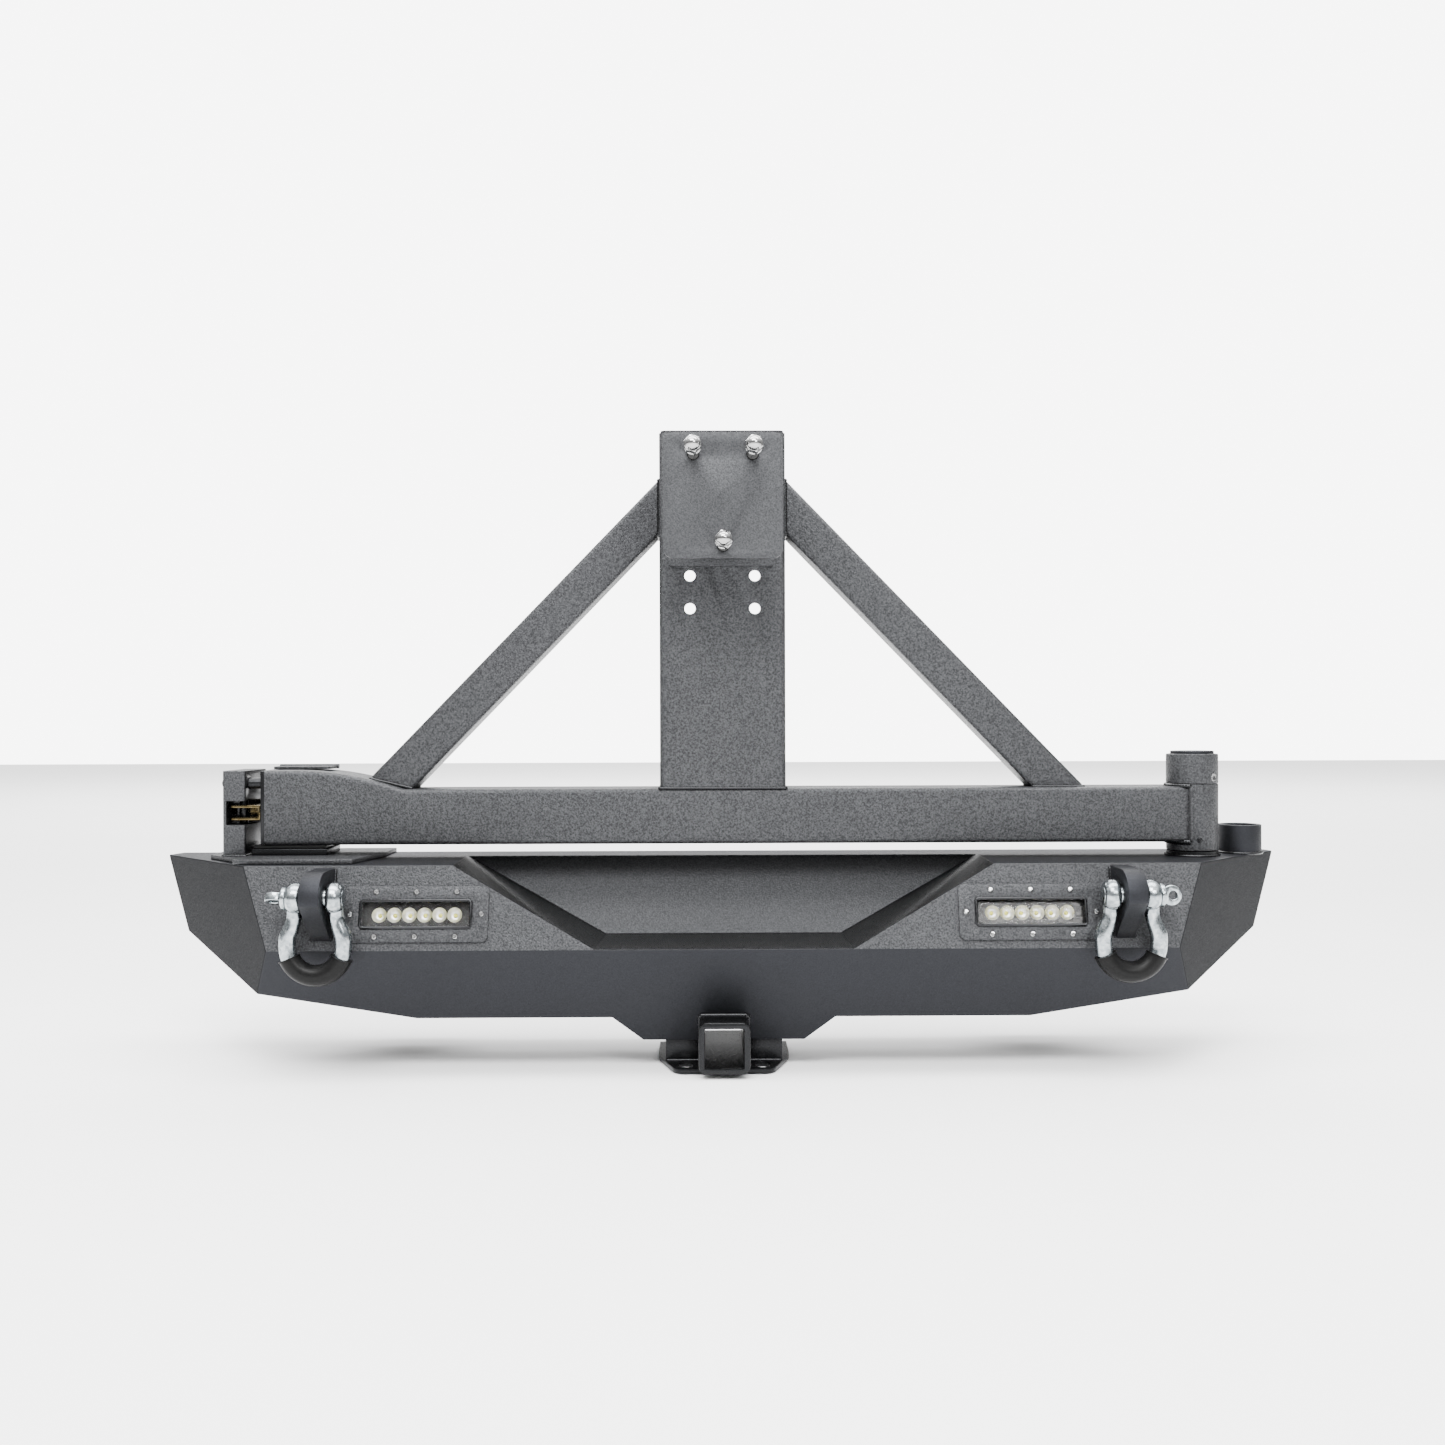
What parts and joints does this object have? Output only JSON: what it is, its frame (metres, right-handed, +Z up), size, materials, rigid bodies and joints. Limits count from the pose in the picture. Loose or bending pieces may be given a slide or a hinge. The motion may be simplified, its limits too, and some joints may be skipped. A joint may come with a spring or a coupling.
{
  "type": "rear bumper with swing-out spare tire carrier",
  "caption": "Folded-plate truck rear bumper with a swing-out arm on a vertical pivot that carries a spare wheel mount on a braced upright",
  "frame": {"origin": "midway between the two frame plates, in the plane of their back faces, where the bumper bolts to the vehicle", "axes": "+X to the right along the bumper as seen from behind the vehicle, +Y forward to the vehicle, +Z up"},
  "size_m": [1.5588, 0.3431, 0.8455],
  "materials": {
    "textured_coat": "textured black powder coat, matt",
    "smooth_coat": "smooth black powder coat, satin",
    "galvanised": "hot-dip galvanised, mottled",
    "yellow_zinc": "yellow zinc plating, satin",
    "chrome_nut": "bright chrome plating",
    "plain_steel": "machined steel, clear zinc",
    "isolator_rubber": "moulded black urethane, satin",
    "clear_lens": "clear polycarbonate, polished",
    "lamp_body": "black anodised die casting"
  },
  "bodies": {
    "bumper": {"lower_face": "textured_coat", "recess_tub": "smooth_coat", "top_plate": "textured_coat", "crossmember": "smooth_coat", "receiver_tube": "smooth_coat", "chain_plate": "smooth_coat", "upper_face_left": "textured_coat", "wing_left": "textured_coat", "frame_plate_left": "smooth_coat", "shackle_tab_left": "smooth_coat", "light_bezel_left": "textured_coat", "light_housing_left": "lamp_body", "light_lens_left": "clear_lens", "upper_face_right": "textured_coat", "wing_right": "textured_coat", "frame_plate_right": "smooth_coat", "shackle_tab_right": "smooth_coat", "light_bezel_right": "textured_coat", "light_housing_right": "lamp_body", "light_lens_right": "clear_lens", "spindle": "plain_steel", "lower_bearing": "plain_steel", "upper_bearing": "plain_steel", "castle_nut": "plain_steel", "latch_base_plate": "textured_coat", "latch_post": "textured_coat", "striker_pin": "yellow_zinc", "rest_block": "smooth_coat", "rest_pad": "isolator_rubber", "stop_socket": "smooth_coat"},
    "swing_arm": {"arm_tube": "textured_coat", "arm_end_plate": "smooth_coat", "pivot_sleeve": "textured_coat", "collar_cap": "textured_coat", "grease_cap": "textured_coat", "post_channel": "textured_coat", "post_cap": "textured_coat", "brace_left": "textured_coat", "brace_right": "textured_coat", "base_plate": "textured_coat", "standoff_tube": "smooth_coat", "stud_plate": "textured_coat", "lug_stud_1": "plain_steel", "lug_stud_2": "plain_steel", "lug_stud_3": "plain_steel", "lug_nut_1": "chrome_nut", "lug_nut_2": "chrome_nut", "lug_nut_3": "chrome_nut", "latch_housing": "yellow_zinc", "hook_pivot_bolt": "yellow_zinc"},
    "latch_hook": {"latch_hook": "yellow_zinc"},
    "release_lever": {"release_lever": "textured_coat"},
    "lock_pin": {"lock_pin": "plain_steel"},
    "shackle_left": {"shackle_bow_left": "galvanised", "shackle_pin_left": "galvanised", "shackle_isolator_left": "isolator_rubber"},
    "shackle_right": {"shackle_bow_right": "galvanised", "shackle_pin_right": "galvanised", "shackle_isolator_right": "isolator_rubber"}
  },
  "joints": [
    {"name": "arm_swing", "type": "hinge", "parent": "bumper", "child": "swing_arm", "pos_m": [0.6442, -0.103, 0.2], "axis": [0, 0, 1], "range_deg": [0, 110]},
    {"name": "lever_lift", "type": "hinge", "parent": "swing_arm", "child": "release_lever", "pos_m": [-0.5715, -0.0753, 0.2706], "axis": [-1, 0, 0], "range_deg": [0, 35], "stiffness_Nm_per_rad": 0.3, "springref_deg": -11.46},
    {"name": "hook_turn", "type": "hinge", "parent": "swing_arm", "child": "latch_hook", "pos_m": [-0.633, -0.0873, 0.21], "axis": [0, 0, -1], "range_deg": [0, 50]},
    {"name": "pin_pull", "type": "slide", "parent": "bumper", "child": "lock_pin", "axis": [-1, 0, 0], "range_m": [0, 0.07]},
    {"name": "shackle_left_swing", "type": "hinge", "parent": "bumper", "child": "shackle_left", "pos_m": [-0.5135, -0.2579, 0.1102], "axis": [1, 0, 0], "range_deg": [-110, 5]},
    {"name": "shackle_right_swing", "type": "hinge", "parent": "bumper", "child": "shackle_right", "pos_m": [0.5135, -0.2579, 0.1102], "axis": [1, 0, 0], "range_deg": [-110, 5]}
  ],
  "couplings": [
    {"joint": "hook_turn", "follows": "lever_lift", "ratio": 1.4285}
  ]
}
